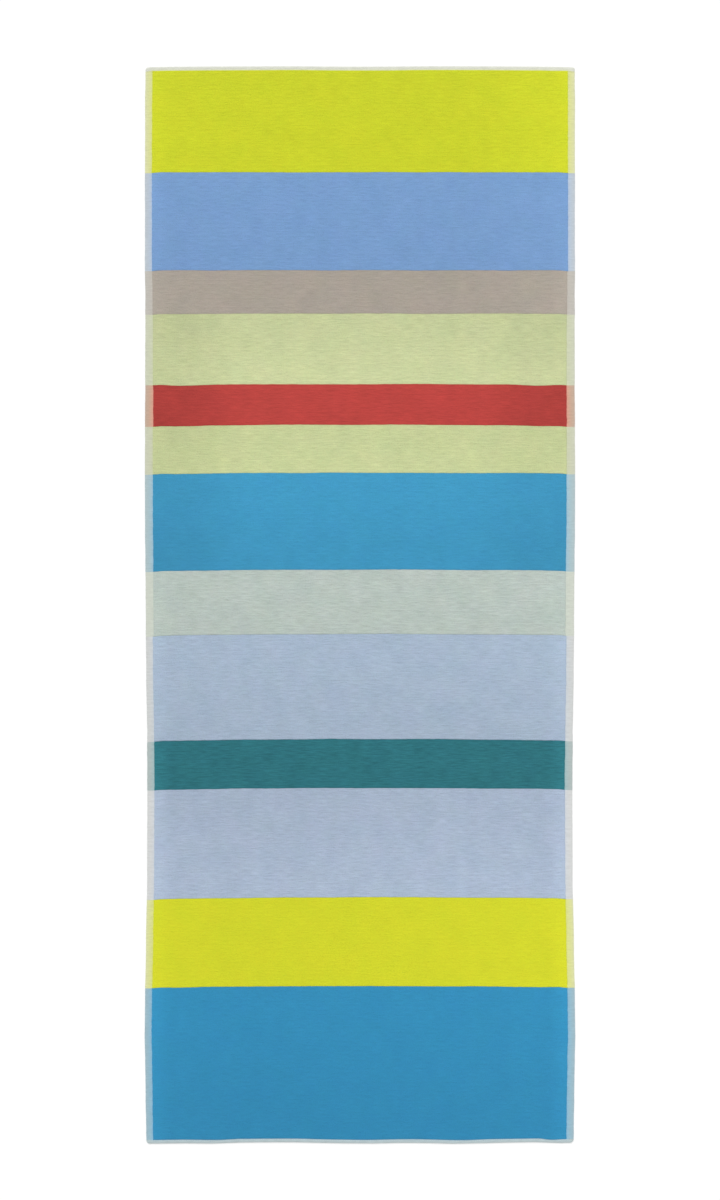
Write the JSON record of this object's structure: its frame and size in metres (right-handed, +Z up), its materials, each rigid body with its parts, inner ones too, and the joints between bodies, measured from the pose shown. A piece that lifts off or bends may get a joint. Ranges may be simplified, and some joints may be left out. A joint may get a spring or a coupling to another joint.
{
  "type": "bath towel",
  "caption": "Striped terry bath towel lying flat and open, with plain woven side edges and a turned hem at each end, for drying, wrapping or lying on.",
  "frame": {"origin": "middle of the towel's underside, on the surface that it lies on", "axes": "+X across the cloth from one selvedge to the other, +Y along the cloth towards the hem beside the first lime stripe, +Z up, out of the face that shows"},
  "size_m": [0.8, 2, 0.0036],
  "materials": {
    "terry_cotton": "matte"
  },
  "bodies": {
    "root": {"towel": "terry_cotton"}
  },
  "joints": []
}
